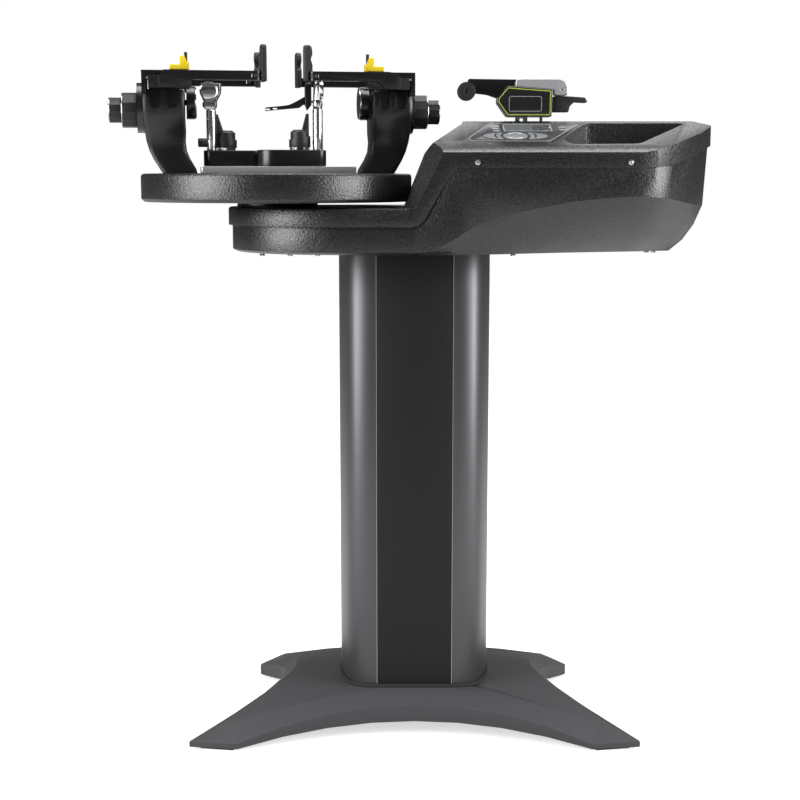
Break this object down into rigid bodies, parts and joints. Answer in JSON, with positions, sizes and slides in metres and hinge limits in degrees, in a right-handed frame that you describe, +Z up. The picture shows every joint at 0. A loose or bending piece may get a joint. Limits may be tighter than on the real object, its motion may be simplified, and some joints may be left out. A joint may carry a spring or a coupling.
{
  "type": "racket stringing machine",
  "caption": "Floor-standing racket stringing machine: four-toed foot, column, housing with tray and tension rail, turntable with adjustable towers, string clamps and tension head.",
  "frame": {"origin": "the bottom centre of the bounding box, on the floor between the toes", "axes": "+Z up; the front, with the tray and the control panel's slope, faces -Y; the tension rail runs along X, with the turntable on the -X side"},
  "size_m": [0.9535, 0.433, 1.096],
  "materials": {
    "foot_powder": "fine powder coat, matt",
    "rubber": "matt",
    "column_grey": "satin powder coat",
    "column_panel": "matt",
    "textured_black": "grained",
    "panel_gloss": "printed film",
    "display": "smoked window",
    "key_grey": "soft touch",
    "machined_steel": "machined",
    "motor_grey": "cast",
    "matte_black": "moulded",
    "gloss_black": "polished",
    "glide_silver": "anodised",
    "tower_black": "gloss paint on a casting",
    "knob_black": "moulded, bright rim",
    "shoulder_black": "moulded nylon",
    "pad_yellow": "moulded",
    "chrome": "polished",
    "jaw_black": "blackened",
    "head_gloss": "polished, olive edge",
    "head_silver": "satin",
    "gripper_black": "satin"
  },
  "bodies": {
    "stand": {"base_casting": "foot_powder", "foot_pad_front_left": "rubber", "foot_pad_front_right": "rubber", "foot_pad_rear_left": "rubber", "foot_pad_rear_right": "rubber", "column_extrusion": "column_grey", "column_panel": "column_panel", "column_gasket": "rubber", "housing_lower": "textured_black", "housing_upper": "textured_black", "turntable_hub": "machined_steel", "control_panel": "panel_gloss", "display_window": "display", "tension_rail": "machined_steel", "drive_gearmotor": "motor_grey", "power_inlet": "matte_black"},
    "turntable": {"turntable_disc": "textured_black", "glide_plate": "glide_silver"},
    "left_tower": {"tower_left": "tower_black", "inner_wheel_left": "knob_black"},
    "right_tower": {"tower_right": "tower_black", "inner_wheel_right": "knob_black"},
    "left_arm_knob": {"arm_knob_left": "knob_black"},
    "right_arm_knob": {"arm_knob_right": "knob_black"},
    "left_pad_knob": {"pad_knob_left": "knob_black"},
    "right_pad_knob": {"pad_knob_right": "knob_black"},
    "left_front_arm": {"arm_left_front": "tower_black"},
    "left_rear_arm": {"arm_left_rear": "tower_black"},
    "right_front_arm": {"arm_right_front": "tower_black"},
    "right_rear_arm": {"arm_right_rear": "tower_black"},
    "left_front_shoulder": {"shoulder_left_front": "shoulder_black"},
    "left_rear_shoulder": {"shoulder_left_rear": "shoulder_black"},
    "right_front_shoulder": {"shoulder_right_front": "shoulder_black"},
    "right_rear_shoulder": {"shoulder_right_rear": "shoulder_black"},
    "left_head_pad": {"head_pad_left": "pad_yellow"},
    "right_head_pad": {"head_pad_right": "pad_yellow"},
    "left_clamp_slider": {"clamp_slider_left": "machined_steel"},
    "right_clamp_slider": {"clamp_slider_right": "machined_steel"},
    "left_clamp_arm": {"clamp_arm_left": "tower_black"},
    "right_clamp_arm": {"clamp_arm_right": "tower_black"},
    "left_clamp_knob": {"clamp_knob_left": "knob_black"},
    "right_clamp_knob": {"clamp_knob_right": "knob_black"},
    "left_clamp_post": {"clamp_post_left": "chrome"},
    "right_clamp_post": {"clamp_post_right": "chrome"},
    "left_clamp_head": {"clamp_head_left": "chrome"},
    "right_clamp_head": {"clamp_head_right": "chrome"},
    "left_clamp_jaw": {"clamp_jaw_left": "jaw_black"},
    "right_clamp_jaw": {"clamp_jaw_right": "jaw_black"},
    "tension_head": {"tension_carriage": "machined_steel", "head_body": "head_gloss", "head_cover": "head_silver"},
    "screw": {"lead_screw": "machined_steel"},
    "gripper": {"gripper_arm": "gripper_black"},
    "roller": {"string_roller": "gripper_black"},
    "release": {"release_lever": "gripper_black"},
    "set_key": {"key_set": "key_grey"},
    "minus_key": {"key_minus": "key_grey"},
    "plus_key": {"key_plus": "key_grey"},
    "rocker": {"power_rocker": "gloss_black"}
  },
  "joints": [
    {"name": "turntable_turn", "type": "hinge", "parent": "stand", "child": "turntable", "pos_m": [-0.2138, 0, 0.87], "axis": [0, 0, 1], "continuous": true},
    {"name": "left_tower_slide", "type": "slide", "parent": "turntable", "child": "left_tower", "axis": [-0.989, -0.1478, 0], "range_m": [-0.003, 0.02]},
    {"name": "right_tower_slide", "type": "slide", "parent": "turntable", "child": "right_tower", "axis": [0.989, 0.1478, 0], "range_m": [-0.01, 0.02]},
    {"name": "left_front_arm_slide", "type": "slide", "parent": "left_tower", "child": "left_front_arm", "axis": [0.1478, -0.989, 0], "range_m": [-0.006, 0.03]},
    {"name": "left_rear_arm_slide", "type": "slide", "parent": "left_tower", "child": "left_rear_arm", "axis": [-0.1478, 0.989, 0], "range_m": [-0.006, 0.03]},
    {"name": "left_arm_knob_turn", "type": "hinge", "parent": "left_tower", "child": "left_arm_knob", "pos_m": [-0.39133, -0.02653, 0.9985], "axis": [-0.989, -0.1478, 0], "range_deg": [-45, 216]},
    {"name": "right_front_arm_slide", "type": "slide", "parent": "right_tower", "child": "right_front_arm", "axis": [0.1478, -0.989, 0], "range_m": [-0.006, 0.03]},
    {"name": "right_rear_arm_slide", "type": "slide", "parent": "right_tower", "child": "right_rear_arm", "axis": [-0.1478, 0.989, 0], "range_m": [-0.006, 0.03]},
    {"name": "right_arm_knob_turn", "type": "hinge", "parent": "right_tower", "child": "right_arm_knob", "pos_m": [-0.03083, 0.02734, 0.9985], "axis": [0.989, 0.1478, 0], "range_deg": [-45, 216]},
    {"name": "left_head_pad_slide", "type": "slide", "parent": "left_tower", "child": "left_head_pad", "axis": [0.989, 0.1478, 0], "range_m": [-0.006, 0.01]},
    {"name": "left_pad_knob_turn", "type": "hinge", "parent": "left_tower", "child": "left_pad_knob", "pos_m": [-0.39133, -0.02653, 0.9985], "axis": [-0.989, -0.1478, 0], "range_deg": [-70, 116]},
    {"name": "right_head_pad_slide", "type": "slide", "parent": "right_tower", "child": "right_head_pad", "axis": [-0.989, -0.1478, 0], "range_m": [-0.006, 0.01]},
    {"name": "right_pad_knob_turn", "type": "hinge", "parent": "right_tower", "child": "right_pad_knob", "pos_m": [-0.03083, 0.02734, 0.9985], "axis": [0.989, 0.1478, 0], "range_deg": [-70, 116]},
    {"name": "left_front_shoulder_swivel", "type": "hinge", "parent": "left_front_arm", "child": "left_front_shoulder", "pos_m": [-0.23713, -0.07932, 1.0485], "axis": [0, 0, 1], "range_deg": [-20, 20]},
    {"name": "left_rear_shoulder_swivel", "type": "hinge", "parent": "left_rear_arm", "child": "left_rear_shoulder", "pos_m": [-0.26098, 0.06878, 1.0485], "axis": [0, 0, 1], "range_deg": [-20, 20]},
    {"name": "right_front_shoulder_swivel", "type": "hinge", "parent": "right_front_arm", "child": "right_front_shoulder", "pos_m": [-0.14921, -0.06618, 1.0485], "axis": [0, 0, 1], "range_deg": [-20, 20]},
    {"name": "right_rear_shoulder_swivel", "type": "hinge", "parent": "right_rear_arm", "child": "right_rear_shoulder", "pos_m": [-0.17336, 0.08188, 1.0485], "axis": [0, 0, 1], "range_deg": [-20, 20]},
    {"name": "left_clamp_slide", "type": "slide", "parent": "turntable", "child": "left_clamp_slider", "axis": [0.989, 0.1478, 0], "range_m": [-0.003, 0.06]},
    {"name": "right_clamp_slide", "type": "slide", "parent": "turntable", "child": "right_clamp_slider", "axis": [0.989, 0.1478, 0], "range_m": [-0.05, 0.03]},
    {"name": "left_clamp_swing", "type": "hinge", "parent": "left_clamp_slider", "child": "left_clamp_arm", "pos_m": [-0.25859, 0.02566, 0.92], "axis": [0, 0, 1], "range_deg": [-20, 20]},
    {"name": "right_clamp_swing", "type": "hinge", "parent": "right_clamp_slider", "child": "right_clamp_arm", "pos_m": [-0.21402, -0.03239, 0.92], "axis": [0, 0, 1], "range_deg": [0, 40]},
    {"name": "left_clamp_lock", "type": "hinge", "parent": "left_clamp_arm", "child": "left_clamp_knob", "pos_m": [-0.2968, 0.01814, 0.95], "axis": [0, 0, 1], "range_deg": [0, 90]},
    {"name": "right_clamp_lock", "type": "hinge", "parent": "right_clamp_arm", "child": "right_clamp_knob", "pos_m": [-0.17564, -0.01991, 0.95], "axis": [0, 0, 1], "range_deg": [0, 90]},
    {"name": "left_post_lift", "type": "slide", "parent": "left_clamp_arm", "child": "left_clamp_post", "axis": [0, 0, 1], "range_m": [0, 0.012]},
    {"name": "right_post_lift", "type": "slide", "parent": "right_clamp_arm", "child": "right_clamp_post", "axis": [0, 0, 1], "range_m": [0, 0.012]},
    {"name": "left_clamp_head_turn", "type": "hinge", "parent": "left_clamp_post", "child": "left_clamp_head", "pos_m": [-0.31803, -0.00142, 1], "axis": [0, 0, 1], "range_deg": [-15, 15]},
    {"name": "right_clamp_head_turn", "type": "hinge", "parent": "right_clamp_post", "child": "right_clamp_head", "pos_m": [-0.14647, -0.02634, 1], "axis": [0, 0, 1], "range_deg": [-15, 15]},
    {"name": "left_clamp_lever", "type": "hinge", "parent": "left_clamp_head", "child": "left_clamp_jaw", "pos_m": [-0.32025, 0.01341, 1.0118], "axis": [-0.989, -0.1478, 0], "range_deg": [0, 12]},
    {"name": "right_clamp_lever", "type": "hinge", "parent": "right_clamp_head", "child": "right_clamp_jaw", "pos_m": [-0.1613, -0.02855, 1.0118], "axis": [0.1478, -0.989, 0], "range_deg": [0, 12]},
    {"name": "tension_slide", "type": "slide", "parent": "stand", "child": "tension_head", "axis": [1, 0, 0], "range_m": [0, 0.14]},
    {"name": "screw_turn", "type": "hinge", "parent": "stand", "child": "screw", "pos_m": [0.27, 0, 0.964], "axis": [1, 0, 0], "range_deg": [-1, 5041]},
    {"name": "gripper_swing", "type": "hinge", "parent": "tension_head", "child": "gripper", "pos_m": [0.206, 0.0145, 1.03], "axis": [0, 1, 0], "range_deg": [0, 12]},
    {"name": "roller_turn", "type": "hinge", "parent": "gripper", "child": "roller", "pos_m": [0.0895, 0, 1.0295], "axis": [0, 1, 0], "continuous": true},
    {"name": "release_press", "type": "hinge", "parent": "tension_head", "child": "release", "pos_m": [0.2248, -0.008, 0.997], "axis": [0, 1, 0], "range_deg": [0, 12], "stiffness_Nm_per_rad": 0.3, "springref_deg": -5.73},
    {"name": "set_key_press", "type": "slide", "parent": "stand", "child": "set_key", "axis": [0, 0.2997, -0.954], "range_m": [0, 0.001], "stiffness_N_per_m": 400, "springref_m": -0.0005},
    {"name": "minus_key_press", "type": "slide", "parent": "stand", "child": "minus_key", "axis": [0, 0.2997, -0.954], "range_m": [0, 0.001], "stiffness_N_per_m": 400, "springref_m": -0.0005},
    {"name": "plus_key_press", "type": "slide", "parent": "stand", "child": "plus_key", "axis": [0, 0.2997, -0.954], "range_m": [0, 0.001], "stiffness_N_per_m": 400, "springref_m": -0.0005},
    {"name": "rocker_tilt", "type": "hinge", "parent": "stand", "child": "rocker", "pos_m": [0.245, 0.175, 0.888], "axis": [0, 0, 1], "range_deg": [0, 12]}
  ],
  "couplings": [
    {"joint": "left_rear_arm_slide", "follows": "left_front_arm_slide", "ratio": 1},
    {"joint": "left_arm_knob_turn", "follows": "left_front_arm_slide", "rad_per_m": 125},
    {"joint": "right_rear_arm_slide", "follows": "right_front_arm_slide", "ratio": 1},
    {"joint": "right_arm_knob_turn", "follows": "right_front_arm_slide", "rad_per_m": 125},
    {"joint": "left_pad_knob_turn", "follows": "left_head_pad_slide", "rad_per_m": 200},
    {"joint": "right_pad_knob_turn", "follows": "right_head_pad_slide", "rad_per_m": 200},
    {"joint": "screw_turn", "follows": "tension_slide", "rad_per_m": 628.32}
  ]
}
